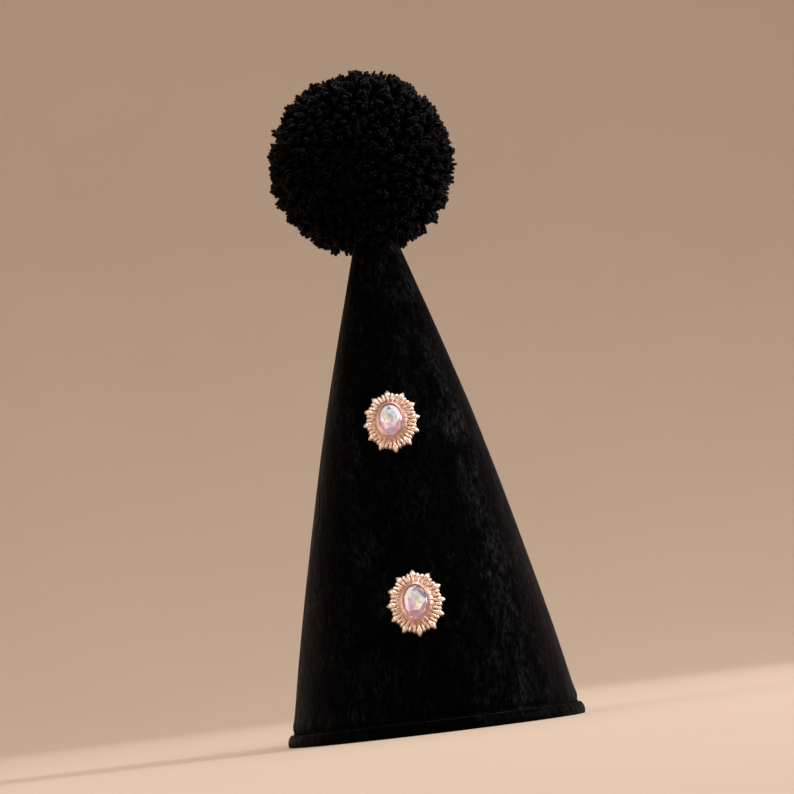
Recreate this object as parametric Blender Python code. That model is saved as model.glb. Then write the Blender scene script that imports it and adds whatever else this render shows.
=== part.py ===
"""A tall velvet cone hat with a yarn pompom on its tip and two jewelled buttons down its front.

The hat stands on its rim. +Z is up and the front faces -Y. The origin is the middle of the mouth, at
the height that the rim stands on. All sizes are in metres.
"""

import math
import random
from collections import namedtuple

import bmesh
import bpy
from mathutils import Matrix, Vector

# The clear gap between any two pieces that touch
GAP = 0.0003

# Crown: an oval cone whose sides bow out a little from straight
BASE_HALF_WIDTH = 0.072
BASE_HALF_DEPTH = 0.080
APEX_HEIGHT = 0.281
WIDTH_BULGE = 0.0053
DEPTH_BULGE = 0.0033
TIP_LEAN = 0.002
WALL = 0.0021
CROWN_FOOT = 0.0020
CROWN_TIP = 0.266
TIP_ROUNDING = 0.0022
TIP_THICKNESS = 0.008
CROWN_SIDES = 48
OUTER_ROWS = 9
INNER_ROWS = 6
SOCKET_ROWS = 3

# Binding: velvet folded round the crown's lower edge
BINDING_HEIGHT = 0.0060
BINDING_LEG = 0.0012
BINDING_ROLL = 0.0006
BINDING_CORNER = 0.0009
FOOT_HALF_FLAT = 0.4

# Pompom: a ball of cut yarn, whose locks are fused to it
POMPOM_HEIGHT = 0.288
POMPOM_RADIUS = 0.047
LOCK_LENGTH = 0.0048
LOCK_UNEVENNESS = 0.0014
LOCK_GRADE = 4
BARE_ANGLE = math.radians(20)
LOCK_SEED = 7

# Stone: an oval faceted stone, 13 by 18 mm
STONE_HALF_WIDTH = 0.0065
STONE_HALF_LENGTH = 0.0090
TABLE_SHARE = 0.56
CROWN_FACET_SHARE = 0.80
CULET_SHARE = 0.45
STONE_CORNERS = 8

# Setting: a cast sunburst round the stone, of prongs with a bead between each two
PRONGS = 12
SEAT_FLOOR = 0.0010

# How much of the notch there is at each step from one prong to the next: none on the prong or the bead
NOTCH_SHARES = (0.0, 0.7, 1.0, 0.5, 0.0, 0.5, 1.0, 0.7)

# Heights above the back of the setting, which the stone shares
STONE_FOOT = SEAT_FLOOR + GAP
GIRDLE_LOW = 0.0026
GIRDLE_HIGH = 0.0030
STONE_TOP = 0.0051

# One row for each ring of the setting, from the stone's seat outwards: how far it reaches past the girdle,
# and how high it stands, along a prong, along a bead and in the notch between them
Ring = namedtuple("Ring", "prong_reach bead_reach notch_reach prong_height bead_height notch_height")
SETTING_RINGS = (
    Ring(0.0003, 0.0003, 0.0003, SEAT_FLOOR, SEAT_FLOOR, SEAT_FLOOR),
    Ring(0.0003, 0.0003, 0.0003, 0.0034, 0.0034, 0.0034),
    Ring(0.0012, 0.0012, 0.0012, 0.0034, 0.0034, 0.0034),
    Ring(0.0016, 0.0016, 0.0016, 0.0024, 0.0024, 0.0012),
    Ring(0.0038, 0.0038, 0.0038, 0.0021, 0.0021, 0.0011),
    Ring(0.0050, 0.0051, 0.0048, 0.0025, 0.0029, 0.0016),
    Ring(0.0076, 0.0063, 0.0055, 0.0009, 0.0012, 0.0008),
    Ring(0.0076, 0.0063, 0.0055, 0.0, 0.0, 0.0),
)

# One row for each button: its place up the crown, its turn round the crown from the front, and its own spin
Button = namedtuple("Button", "name height turn spin")
BUTTONS = (
    Button("upper", 0.1505, math.radians(-5.0), math.radians(2.5)),
    Button("lower", 0.0610, math.radians(-2.5), math.radians(0.5)),
)

# One row for each finish
Finish = namedtuple("Finish", "name colour roughness metallic")
VELVET = Finish("black_velvet", (0.010, 0.009, 0.010, 1.0), 0.90, 0.0)
BINDING_VELVET = Finish("black_binding", (0.007, 0.007, 0.008, 1.0), 0.85, 0.0)
YARN = Finish("black_yarn", (0.012, 0.012, 0.013, 1.0), 0.95, 0.0)
ROSE_GOLD = Finish("rose_gold", (0.86, 0.58, 0.40, 1.0), 0.22, 1.0)
CRYSTAL = Finish("opal_crystal", (0.80, 0.72, 0.82, 1.0), 0.06, 0.0)


def clear_scene():
    """Removes whatever the file opened with."""
    for obj in list(bpy.data.objects):
        bpy.data.objects.remove(obj, do_unlink=True)


def material_of(finish):
    """The finish as a Principled material, made once."""
    material = bpy.data.materials.get(finish.name)
    if material is None:
        material = bpy.data.materials.new(finish.name)
        material.use_nodes = True
        shader = material.node_tree.nodes["Principled BSDF"]
        shader.inputs["Base Color"].default_value = finish.colour
        shader.inputs["Roughness"].default_value = finish.roughness
        shader.inputs["Metallic"].default_value = finish.metallic
    return material


def object_of(bm, name, finish, smooth_under=None):
    """Turns a bmesh into a named object. Edges flatter than smooth_under are shaded smooth."""
    bmesh.ops.recalc_face_normals(bm, faces=bm.faces)
    mesh = bpy.data.meshes.new(name)
    bm.to_mesh(mesh)
    bm.free()
    if smooth_under is not None:
        mesh.shade_smooth()
        mesh.set_sharp_from_angle(angle=smooth_under)
    mesh.materials.append(material_of(finish))
    obj = bpy.data.objects.new(name, mesh)
    bpy.context.scene.collection.objects.link(obj)
    return obj


def bridge(bm, lower, upper):
    """Joins two rings of the same number of points with a band of faces."""
    count = len(lower)
    for i in range(count):
        after = (i + 1) % count
        bm.faces.new((lower[i], lower[after], upper[after], upper[i]))


def close_with_point(bm, ring, point):
    """Closes a ring with a fan of faces round one point."""
    middle = bm.verts.new(point)
    for i in range(len(ring)):
        bm.faces.new((ring[i], ring[(i + 1) % len(ring)], middle))


def crown_point(height, turn, out=0.0):
    """A point of the crown's outer surface, moved outwards: its height, and its turn from the front."""
    rise = height / APEX_HEIGHT
    bow = 4 * rise * (1 - rise)
    half_width = BASE_HALF_WIDTH * (1 - rise) + WIDTH_BULGE * bow + out
    half_depth = BASE_HALF_DEPTH * (1 - rise) + DEPTH_BULGE * bow + out
    return Vector(
        (
            half_width * math.sin(turn) - TIP_LEAN * rise**2,
            -half_depth * math.cos(turn),
            height,
        )
    )


def crown_ring(bm, height, out=0.0):
    """A ring of points on the crown's outer surface, moved outwards."""
    turns = [math.tau * i / CROWN_SIDES for i in range(CROWN_SIDES)]
    return [bm.verts.new(crown_point(height, turn, out)) for turn in turns]


def crown_rings(bm, low, high, rows, out=0.0):
    """Rings at even heights from low to high, joined by bands."""
    rings = [crown_ring(bm, low + (high - low) * i / rows, out) for i in range(rows + 1)]
    for lower, upper in zip(rings, rings[1:]):
        bridge(bm, lower, upper)
    return rings


def crown_axis(height):
    """The middle of the crown at a height."""
    return Vector((-TIP_LEAN * (height / APEX_HEIGHT) ** 2, 0.0, height))


def make_crown():
    """The velvet cone: one thin wall, open below and closed at its rounded tip."""
    bm = bmesh.new()
    shoulder = CROWN_TIP - TIP_ROUNDING
    outside = crown_rings(bm, CROWN_FOOT, shoulder, OUTER_ROWS)
    rounding = crown_ring(bm, CROWN_TIP - TIP_ROUNDING / 4, -TIP_ROUNDING)
    bridge(bm, outside[-1], rounding)
    close_with_point(bm, rounding, crown_axis(CROWN_TIP))
    hollow_top = CROWN_TIP - TIP_THICKNESS
    inside = crown_rings(bm, CROWN_FOOT, hollow_top, INNER_ROWS, -WALL)
    close_with_point(bm, inside[-1], crown_axis(hollow_top))
    bridge(bm, outside[0], inside[0])
    return object_of(bm, "crown", VELVET, math.radians(40))


def binding_section():
    """The binding's U section, as (distance out from the crown's outer surface, height), once round."""
    outer = GAP + BINDING_LEG
    inner = -WALL - GAP - BINDING_LEG
    fold = CROWN_FOOT - GAP
    flat = FOOT_HALF_FLAT * BINDING_LEG
    return (
        (GAP, BINDING_HEIGHT),
        (outer - BINDING_LEG / 2, BINDING_HEIGHT),
        (outer, BINDING_HEIGHT - BINDING_CORNER),
        (outer + BINDING_ROLL, fold),
        (outer, BINDING_CORNER / 2),
        (GAP + flat, 0.0),
        (-WALL - GAP - flat, 0.0),
        (inner, BINDING_CORNER / 2),
        (inner - BINDING_ROLL / 2, fold),
        (inner, BINDING_HEIGHT - BINDING_CORNER),
        (inner + BINDING_LEG / 2, BINDING_HEIGHT),
        (-WALL - GAP, BINDING_HEIGHT),
        (-WALL - GAP, fold),
        (GAP, fold),
    )


def make_binding():
    """The velvet binding, folded round the crown's lower edge, with a flat foot that the hat stands on."""
    bm = bmesh.new()
    rings = [crown_ring(bm, height, out) for out, height in binding_section()]
    for ring, after in zip(rings, rings[1:] + rings[:1]):
        bridge(bm, ring, after)
    return object_of(bm, "rim_binding", BINDING_VELVET, math.radians(50))


def lock_tip(direction, uneven):
    """How far from the pompom's middle a lock ends. The locks where the crown goes in are left out."""
    root = POMPOM_RADIUS - LOCK_LENGTH
    if direction.angle(Vector((0.0, 0.0, -1.0))) < BARE_ANGLE:
        return root
    return POMPOM_RADIUS - uneven.uniform(0.0, LOCK_UNEVENNESS)


def make_socket_cutter():
    """The crown's tip with a gap round it, which the pompom is pushed on to."""
    bm = bmesh.new()
    below = POMPOM_HEIGHT - POMPOM_RADIUS - LOCK_LENGTH
    rings = crown_rings(bm, below, CROWN_TIP + GAP, SOCKET_ROWS, GAP)
    close_with_point(bm, rings[-1], crown_axis(CROWN_TIP + GAP))
    close_with_point(bm, rings[0], crown_axis(below))
    cutter = object_of(bm, "socket_cutter", YARN)
    cutter.hide_render = True
    cutter.display_type = "WIRE"
    return cutter


def make_pompom():
    """The ball of cut yarn: six-sided locks with shared roots, and a socket below for the crown."""
    grid = bmesh.new()
    bmesh.ops.create_icosphere(grid, subdivisions=LOCK_GRADE, radius=1.0)
    grid.verts.ensure_lookup_table()
    uneven = random.Random(LOCK_SEED)
    middle = crown_axis(APEX_HEIGHT) + Vector((0.0, 0.0, POMPOM_HEIGHT - APEX_HEIGHT))
    bm = bmesh.new()
    tips = [bm.verts.new(middle + v.co.normalized() * lock_tip(v.co, uneven)) for v in grid.verts]
    root = POMPOM_RADIUS - LOCK_LENGTH
    roots = [bm.verts.new(middle + f.calc_center_median().normalized() * root) for f in grid.faces]
    grid.faces.index_update()
    for edge in grid.edges:
        near, far = (roots[face.index] for face in edge.link_faces)
        for end in edge.verts:
            bm.faces.new((tips[end.index], near, far))
    grid.free()
    pompom = object_of(bm, "pompom", YARN)
    cut = pompom.modifiers.new("socket", "BOOLEAN")
    cut.operation = "DIFFERENCE"
    cut.solver = "EXACT"
    cut.object = make_socket_cutter()
    return pompom


def oval(half_width, half_length, angle, height):
    """A point of an oval in a button's own frame: X across, Y up the crown, Z out of it."""
    return Vector((half_width * math.cos(angle), half_length * math.sin(angle), height))


def button_frame(button):
    """Where a button lies: its own frame, flat against the crown with the clear gap under it."""
    step = 1e-5
    here = crown_point(button.height, button.turn)
    up = crown_point(button.height + step, button.turn) - here
    across = crown_point(button.height, button.turn + step) - here
    out = across.cross(up).normalized()
    up.normalize()
    across = up.cross(out)
    turned = Matrix((across, up, out)).transposed().to_4x4()
    return Matrix.Translation(here + out * GAP) @ turned @ Matrix.Rotation(button.spin, 4, "Z")


def setting_ring(bm, row):
    """One ring of the setting's relief."""
    ring = []
    count = len(NOTCH_SHARES)
    for i in range(PRONGS * count):
        step = i % count
        reach, height = row.prong_reach, row.prong_height
        if count // 4 < step < 3 * count // 4:
            reach, height = row.bead_reach, row.bead_height
        reach += (row.notch_reach - reach) * NOTCH_SHARES[step]
        height += (row.notch_height - height) * NOTCH_SHARES[step]
        angle = math.tau * i / (PRONGS * count)
        point = oval(STONE_HALF_WIDTH + reach, STONE_HALF_LENGTH + reach, angle, height)
        ring.append(bm.verts.new(point))
    return ring


def make_setting(button):
    """The cast setting: the stone's seat and collar, ribs, and a burst of prongs and beads."""
    bm = bmesh.new()
    rings = [setting_ring(bm, row) for row in SETTING_RINGS]
    for ring, after in zip(rings, rings[1:]):
        bridge(bm, ring, after)
    close_with_point(bm, rings[0], (0.0, 0.0, SEAT_FLOOR))
    close_with_point(bm, rings[-1], (0.0, 0.0, 0.0))
    setting = object_of(bm, f"{button.name}_setting", ROSE_GOLD, math.radians(30))
    setting.matrix_world = button_frame(button)
    return setting


def stone_ring(bm, share, height, corners, first=0.0):
    """A ring of a stone's corners at a share of its girdle's size."""
    return [
        bm.verts.new(
            oval(
                STONE_HALF_WIDTH * share,
                STONE_HALF_LENGTH * share,
                math.tau * (i + first) / corners,
                height,
            )
        )
        for i in range(corners)
    ]


def make_stone(button):
    """The oval stone: a table, star facets, kites and girdle facets above, and a cut-off pavilion below."""
    bm = bmesh.new()
    slope = (CROWN_FACET_SHARE * math.cos(math.pi / STONE_CORNERS) - TABLE_SHARE) / (1 - TABLE_SHARE)
    facet_height = STONE_TOP - slope * (STONE_TOP - GIRDLE_HIGH)
    table = stone_ring(bm, TABLE_SHARE, STONE_TOP, STONE_CORNERS, 0.5)
    facets = stone_ring(bm, CROWN_FACET_SHARE, facet_height, STONE_CORNERS)
    girdle = stone_ring(bm, 1.0, GIRDLE_HIGH, 2 * STONE_CORNERS)
    under = stone_ring(bm, 1.0, GIRDLE_LOW, 2 * STONE_CORNERS)
    culet = stone_ring(bm, CULET_SHARE, STONE_FOOT, 2 * STONE_CORNERS)
    for i in range(STONE_CORNERS):
        after = (i + 1) % STONE_CORNERS
        bm.faces.new((table[i - 1], table[i], facets[i]))
        bm.faces.new((table[i], facets[i], girdle[2 * i + 1], facets[after]))
        bm.faces.new((facets[i], girdle[2 * i - 1], girdle[2 * i]))
        bm.faces.new((facets[i], girdle[2 * i], girdle[2 * i + 1]))
    bm.faces.new(table)
    bridge(bm, girdle, under)
    bridge(bm, under, culet)
    bm.faces.new(culet)
    stone = object_of(bm, f"{button.name}_stone", CRYSTAL)
    stone.matrix_world = button_frame(button)
    return stone


def main():
    clear_scene()
    make_crown()
    make_binding()
    make_pompom()
    for button in BUTTONS:
        make_setting(button)
        make_stone(button)


main()
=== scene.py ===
"""The finished look of a tall velvet party hat: crown, rim binding, yarn pompom and two jewelled buttons.

It is laid out as an add-on. The sizes and colours are properties, each group of pieces has an operator,
and a panel in the 3D view's sidebar lists them. Run as a script, it makes every piece once.
Lengths are in metres, +Z is up and the front of the hat faces -Y.
"""

import math
import random
from collections import namedtuple

import bmesh
import bpy
from bpy.props import FloatProperty, FloatVectorProperty, IntProperty, PointerProperty
from mathutils import Matrix, Quaternion, Vector, noise


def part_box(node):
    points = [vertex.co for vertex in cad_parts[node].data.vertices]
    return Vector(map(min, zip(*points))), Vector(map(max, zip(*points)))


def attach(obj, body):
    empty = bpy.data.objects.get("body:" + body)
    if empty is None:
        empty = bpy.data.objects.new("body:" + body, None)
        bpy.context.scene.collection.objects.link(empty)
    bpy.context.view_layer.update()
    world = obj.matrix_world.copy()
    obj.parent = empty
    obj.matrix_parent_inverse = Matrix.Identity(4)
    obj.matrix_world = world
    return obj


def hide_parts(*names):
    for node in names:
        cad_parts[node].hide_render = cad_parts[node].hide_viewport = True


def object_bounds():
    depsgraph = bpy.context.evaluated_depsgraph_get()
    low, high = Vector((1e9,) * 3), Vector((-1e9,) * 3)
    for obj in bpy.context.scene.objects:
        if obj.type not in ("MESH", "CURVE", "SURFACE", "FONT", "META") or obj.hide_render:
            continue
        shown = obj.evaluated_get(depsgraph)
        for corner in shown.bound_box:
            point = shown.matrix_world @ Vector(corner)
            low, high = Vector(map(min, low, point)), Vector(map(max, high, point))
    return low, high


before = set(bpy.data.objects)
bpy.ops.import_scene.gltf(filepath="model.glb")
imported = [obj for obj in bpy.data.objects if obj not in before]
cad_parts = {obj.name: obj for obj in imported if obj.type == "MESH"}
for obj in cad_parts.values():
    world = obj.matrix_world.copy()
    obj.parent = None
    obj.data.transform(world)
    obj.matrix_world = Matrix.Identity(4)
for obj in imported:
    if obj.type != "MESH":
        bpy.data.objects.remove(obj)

bl_info = {
    "name": "Velvet party hat",
    "version": (1, 0, 0),
    "blender": (4, 5, 0),
    "location": "3D View > Sidebar > Party hat",
    "description": "Builds a velvet cone hat with a yarn pompom and two jewelled buttons",
    "category": "Add Mesh",
}

CAD_BOX = [list(corner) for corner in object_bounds()]
CROWN_LOW, CROWN_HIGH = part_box("crown")
BODY = "root"
MM = 0.001


def a_length(name, description, default):
    """A length that a user can change."""
    return FloatProperty(name=name, description=description, default=default, unit="LENGTH")


def an_angle(name, description, degrees):
    """An angle that a user can change."""
    return FloatProperty(
        name=name, description=description, default=math.radians(degrees), subtype="ANGLE"
    )


def a_colour(name, description, default):
    """A colour that a user can change."""
    return FloatVectorProperty(name=name, description=description, default=default, subtype="COLOR")


class HatShape(bpy.types.PropertyGroup):
    """The sizes of the crown and of the binding round its lower edge."""

    base_half_width: a_length("Base half width", "Half the mouth's width", 0.072)
    base_half_depth: a_length("Base half depth", "Half the mouth's depth", 0.080)
    apex_height: a_length("Apex height", "Where straight sides would meet", 0.281)
    width_bulge: a_length("Width bulge", "How far the sides bow out", 0.0053)
    depth_bulge: a_length("Depth bulge", "How far front and back bow out", 0.0033)
    tip_lean: a_length("Tip lean", "How far the tip leans to the left", 0.002)
    wall: a_length("Wall", "Thickness of velvet and backing", 0.0021)
    foot: a_length("Foot", "Height of the crown's raw edge", CROWN_LOW.z)
    tip: a_length("Tip", "Height of the crown's tip", CROWN_HIGH.z)
    binding_height: a_length("Binding height", "Height of the bound rim", 0.0060)
    binding_bulge: a_length("Binding bulge", "How far the binding stands proud", 0.0021)
    stitch_pitch: a_length("Stitch pitch", "From one hem stitch to the next", 0.0032)


class PompomShape(bpy.types.PropertyGroup):
    """The sizes of the yarn pompom."""

    height: a_length("Height", "Height of the pompom's middle", 0.288)
    sideways: a_length("Sideways", "How far the ball sits to the left", 0.0037)
    radius: a_length("Radius", "From the middle to the yarn's ends", 0.0479)
    end_length: a_length("End length", "Length of each loose end", 0.0125)
    spacing: a_length("Spacing", "Least distance between the roots", 0.0031)
    ply_radius: a_length("Ply radius", "Radius of one of a yarn's plies", 0.00108)
    bare_angle: an_angle("Bare angle", "Half angle of the patch over the crown", 17.5)
    seed: IntProperty(name="Seed", description="Picks how the yarn falls", default=5)


class ButtonShape(bpy.types.PropertyGroup):
    """The sizes of the jewelled buttons."""

    half_width: a_length("Stone half width", "Half the stone's width", 0.0065)
    half_length: a_length("Stone half length", "Half the stone's length", 0.0090)
    gap: a_length("Gap", "From the velvet to the button's back", 0.0003)
    rays: IntProperty(name="Rays", description="Number of pointed rays", default=12)


class HatColours(bpy.types.PropertyGroup):
    """The colours of the hat and of the floor under it."""

    velvet_dark: a_colour("Velvet", "Velvet seen into its pile", (0.0002, 0.0002, 0.0002))
    # Painted sheen: the lighter colour that the velvet's crushed streaks are mixed towards
    velvet_painted_sheen: a_colour("Crushed velvet", "Velvet along its pile", (0.0030, 0.0026, 0.0029))
    backing: a_colour("Backing", "Cloth inside the crown", (0.012, 0.011, 0.011))
    yarn: a_colour("Yarn", "Black wool yarn", (0.0003, 0.0003, 0.00033))
    rose_gold: a_colour("Rose gold", "Collar and ribs", (0.56, 0.335, 0.28))
    pale_gold: a_colour("Pale gold", "Rays and bars", (1.0, 0.82, 0.68))
    worn_gold: a_colour("Worn gold", "Patches where the plate is rubbed", (0.92, 0.64, 0.52))
    # Painted shade: the colour that the casting's hollows, the gaps round its rays and the stone's seat
    # darken towards
    recess: a_colour("Recesses", "Painted shade in the casting's hollows", (0.30, 0.15, 0.10))
    floor: a_colour("Floor", "Floor and backdrop", (0.53, 0.412, 0.316))


class StageShape(bpy.types.PropertyGroup):
    """The camera's place."""

    distance: a_length("Distance", "From the hat to the camera", 1.2)
    elevation: an_angle("Elevation", "Camera's angle above the hat's middle", -7.0)
    roll: an_angle("Roll", "Lean of the picture", -6.9)
    view_height: a_length("View height", "Height that fills the picture", 0.400)


# One row for each button: its place up the crown, its turn round the crown from the front, and its own spin
Button = namedtuple("Button", "name height turn spin")
BUTTONS = (
    Button("upper", 0.1505, math.radians(-5.0), math.radians(2.5)),
    Button("lower", 0.0610, math.radians(-2.5), math.radians(0.5)),
)

COLOUR = "NodeSocketColor"
VALUE = "NodeSocketFloat"
VECTOR = "NodeSocketVector"
INTEGER = "NodeSocketInt"
GEOMETRY = "NodeSocketGeometry"
OBJECT = "NodeSocketObject"
COLLECTION = "NodeSocketCollection"
MATERIAL = "NodeSocketMaterial"
BLACK = (0.0, 0.0, 0.0, 1.0)


def put(node, inputs):
    """Sets a node's inputs: each name or number maps to a value, or to a socket to link."""
    for name, value in inputs.items():
        socket = node.inputs[name]
        if isinstance(value, bpy.types.NodeSocket):
            node.id_data.links.new(value, socket)
        elif socket.type == "RGBA":
            socket.default_value = (*value[:3], 1.0)
        else:
            socket.default_value = value


def add(tree, kind, inputs=None, **settings):
    """Adds a node with its settings and its inputs."""
    node = tree.nodes.new(kind)
    for name, value in settings.items():
        setattr(node, name, value)
    put(node, inputs or {})
    return node


def out(tree, kind, inputs=None, output=0, **settings):
    """Adds a node, and gives one of its outputs."""
    return add(tree, kind, inputs, **settings).outputs[output]


def new_group(name, kind, inputs, outputs):
    """A node group with named sockets: inputs maps a name to (type, default), outputs a name to a type."""
    tree = bpy.data.node_groups.new(name, kind)
    for label, (socket_type, default) in inputs.items():
        socket = tree.interface.new_socket(label, in_out="INPUT", socket_type=socket_type)
        if default is not None:
            socket.default_value = default
    for label, socket_type in outputs.items():
        tree.interface.new_socket(label, in_out="OUTPUT", socket_type=socket_type)
    return tree, add(tree, "NodeGroupInput").outputs, add(tree, "NodeGroupOutput")


def new_material(name):
    """A material with an empty node tree, and its shader and output already linked."""
    material = bpy.data.materials.new(name)
    material.use_nodes = True
    tree = material.node_tree
    tree.nodes.clear()
    shader = add(tree, "ShaderNodeBsdfPrincipled")
    add(tree, "ShaderNodeOutputMaterial", {"Surface": shader.outputs["BSDF"]})
    return material, tree, shader


def mask(tree, value, low, high):
    """A value stretched so that low becomes 0 and high becomes 1."""
    return out(tree, "ShaderNodeMapRange", {"Value": value, "From Min": low, "From Max": high})


def mix_colour(tree, factor, first, second):
    """Two colours mixed by a factor."""
    return out(tree, "ShaderNodeMix", {0: factor, 6: first, 7: second}, 2, data_type="RGBA")


def maths(tree, operation, first, second=0.5, third=0.0):
    """A sum worked out by a Math node."""
    return out(tree, "ShaderNodeMath", {0: first, 1: second, 2: third}, operation=operation)


def product(tree, first, second):
    """Two values multiplied."""
    return maths(tree, "MULTIPLY", first, second)


def scaled(tree, value, factor, offset):
    """A value times a factor, plus an offset."""
    return maths(tree, "MULTIPLY_ADD", value, factor, offset)


def speckle(tree, place, scale, detail, roughness=0.5, distortion=0.0, output="Fac"):
    """A noise pattern."""
    pattern = {
        "Vector": place,
        "Scale": scale,
        "Detail": detail,
        "Roughness": roughness,
        "Distortion": distortion,
    }
    return out(tree, "ShaderNodeTexNoise", pattern, output)


def relief(tree, height, strength, distance):
    """The normals of a fine relief."""
    return out(tree, "ShaderNodeBump", {"Height": height, "Strength": strength, "Distance": distance})


def attribute(tree, name, output="Fac"):
    """A value that a mesh carries."""
    return out(tree, "ShaderNodeAttribute", None, output, attribute_name=name)


def pile_group():
    """Crushed velvet pile: where the nap lies over, painted sheen lightens it in streaks along the cloth."""
    existing = bpy.data.node_groups.get("velvet_pile")
    if existing:
        return existing
    tree, given, result = new_group("velvet_pile", "ShaderNodeTree", {
        "Vector": (VECTOR, None),
        "Dark": (COLOUR, BLACK),
        "Light": (COLOUR, (0.1, 0.1, 0.1, 1.0)),
        "Crush": (VALUE, 1.0),
    }, {"Color": COLOUR, "Roughness": VALUE, "Shine": VALUE, "Height": VALUE})
    along = out(tree, "ShaderNodeMapping", {"Vector": given["Vector"], "Scale": (1.0, 0.42, 1.0)})
    strokes = speckle(tree, along, 640.0, 4.0, 0.66, 0.4)
    blotches = speckle(tree, along, 150.0, 4.0, 0.62, 0.8)
    folds = speckle(tree, along, 44.0, 2.0, 0.5, 0.6)
    pile = speckle(tree, given["Vector"], 4200.0, 1.0)
    in_blotch = scaled(tree, mask(tree, blotches, 0.38, 0.68), 0.88, 0.12)
    in_fold = scaled(tree, mask(tree, folds, 0.36, 0.66), 0.7, 0.3)
    lit = product(tree, product(tree, mask(tree, strokes, 0.38, 0.70), in_blotch), in_fold)
    lit = product(tree, maths(tree, "POWER", lit, 1.3), 1.65)
    grain = scaled(tree, mask(tree, pile, 0.35, 0.65), 0.9, 0.4)
    lit = product(tree, lit, product(tree, grain, given["Crush"]))
    waves = scaled(tree, folds, 1.4, blotches)
    ridges = scaled(tree, strokes, 0.30, waves)
    # The crushed streaks are lighter in colour, a painted sheen, as well as glossier
    put(result, {
        "Color": mix_colour(tree, lit, given["Dark"], given["Light"]),
        "Roughness": scaled(tree, lit, -0.3, 0.95),
        "Shine": product(tree, lit, 0.28),
        "Height": scaled(tree, pile, 0.10, ridges),
    })
    return tree


def velvet(name, colours, crush):
    """Black velvet patterned on its cloth's coordinates, with most crush and painted sheen near the tip."""
    material, tree, shader = new_material(name)
    flat = out(tree, "ShaderNodeUVMap", uv_map="flat_pattern")
    from_tip = out(tree, "ShaderNodeVectorMath", {0: flat}, "Value", operation="LENGTH")
    crush_towards_tip = {"Value": from_tip, "From Min": 0.03, "From Max": 0.13, "To Min": 1.9 * crush, "To Max": crush}
    given = {
        "Vector": flat,
        "Dark": colours.velvet_dark,
        "Light": colours.velvet_painted_sheen,
        "Crush": out(tree, "ShaderNodeMapRange", crush_towards_tip),
    }
    pile = add(tree, "ShaderNodeGroup", given, node_tree=pile_group()).outputs
    put(shader, {
        "Base Color": pile["Color"],
        "Roughness": pile["Roughness"],
        "Normal": relief(tree, pile["Height"], 0.6, 0.0012),
        "Specular IOR Level": 0.005,
        "Coat Weight": pile["Shine"],
        "Coat Roughness": 0.43,
        "Coat IOR": 1.3,
        "Sheen Weight": 0.075,
        "Sheen Roughness": 0.32,
        "Sheen Tint": (0.97, 0.86, 0.88),
    })
    return material


def backing_cloth(colour):
    """The plain woven backing that shows inside the crown."""
    material, tree, shader = new_material("backing_cloth")
    flat = out(tree, "ShaderNodeUVMap", uv_map="flat_pattern")
    thread = {"Vector": flat, "Scale": 260.0, "Distortion": 1.2, "Detail": 2.0, "Detail Scale": 3.0}
    warp, weft = (out(tree, "ShaderNodeTexWave", thread, "Fac", bands_direction=way) for way in "XY")
    weave = product(tree, warp, weft)
    lighter = [min(1.0, part * 2.6) for part in colour]
    put(shader, {
        "Base Color": mix_colour(tree, weave, colour, lighter),
        "Roughness": 0.9,
        "Specular IOR Level": 0.2,
        "Normal": relief(tree, weave, 0.5, 0.0003),
    })
    return material


def fibre_group():
    """Fine fibres that run along a thread: lighter and darker black, and their height."""
    existing = bpy.data.node_groups.get("thread_fibres")
    if existing:
        return existing
    tree, given, result = new_group(
        "thread_fibres",
        "ShaderNodeTree",
        {"Along": (VECTOR, None), "Color": (COLOUR, BLACK), "Shade": (VALUE, 0.5)},
        {"Color": COLOUR, "Height": VALUE},
    )
    slant = {"Vector": given["Along"], "Rotation": (0.0, 0.0, 0.35), "Scale": (1.0, 0.22, 1.0)}
    fibres = speckle(tree, out(tree, "ShaderNodeMapping", slant), 9.0, 3.0, 0.65, 0.6)
    shade = maths(tree, "ADD", mask(tree, fibres, 0.38, 0.70), given["Shade"])
    lighter = out(tree, "ShaderNodeVectorMath", {0: given["Color"], "Scale": 6.0}, operation="SCALE")
    mixed = mix_colour(tree, product(tree, shade, 0.5), given["Color"], lighter)
    put(result, {"Color": mixed, "Height": fibres})
    return tree


def thread_material(name, colour, shade, roughness, bump):
    """Twisted black thread, whose fibres follow its own UV map. With no shade given, the mesh carries it."""
    material, tree, shader = new_material(name)
    given = {
        "Along": out(tree, "ShaderNodeUVMap", uv_map="along_thread"),
        "Color": colour,
        "Shade": attribute(tree, "shade") if shade is None else shade,
    }
    fibres = add(tree, "ShaderNodeGroup", given, node_tree=fibre_group()).outputs
    put(shader, {
        "Base Color": fibres["Color"],
        "Roughness": roughness,
        "Specular IOR Level": 0.038,
        "Sheen Weight": 0.003,
        "Sheen Roughness": 0.4,
        "Normal": relief(tree, fibres["Height"], bump, 0.0003),
    })
    return material


def cast_metal(colours):
    """Cast and plated metal: rose gold in the middle, paler gold on the rays, painted shade in its recesses.
    """
    material, tree, shader = new_material("rose_gold_plate")
    place = out(tree, "ShaderNodeTexCoord", None, "Object")
    tone = attribute(tree, "tone")
    grain = speckle(tree, place, 900.0, 3.0)
    patches = mask(tree, speckle(tree, place, 260.0, 2.0), 0.50, 0.85)
    plate = mix_colour(tree, tone, colours.rose_gold, colours.pale_gold)
    worn = mix_colour(tree, patches, plate, colours.worn_gold)
    # Where the mesh carries painted shade, the worn plate darkens towards the painted shade's colour
    put(shader, {
        "Base Color": mix_colour(tree, attribute(tree, "recess"), worn, colours.recess),
        "Roughness": scaled(tree, grain, 0.22, scaled(tree, tone, -0.16, 0.31)),
        "Metallic": scaled(tree, tone, -0.3, 1.0),
        "Normal": relief(tree, grain, 0.25, 0.0002),
    })
    return material


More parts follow.
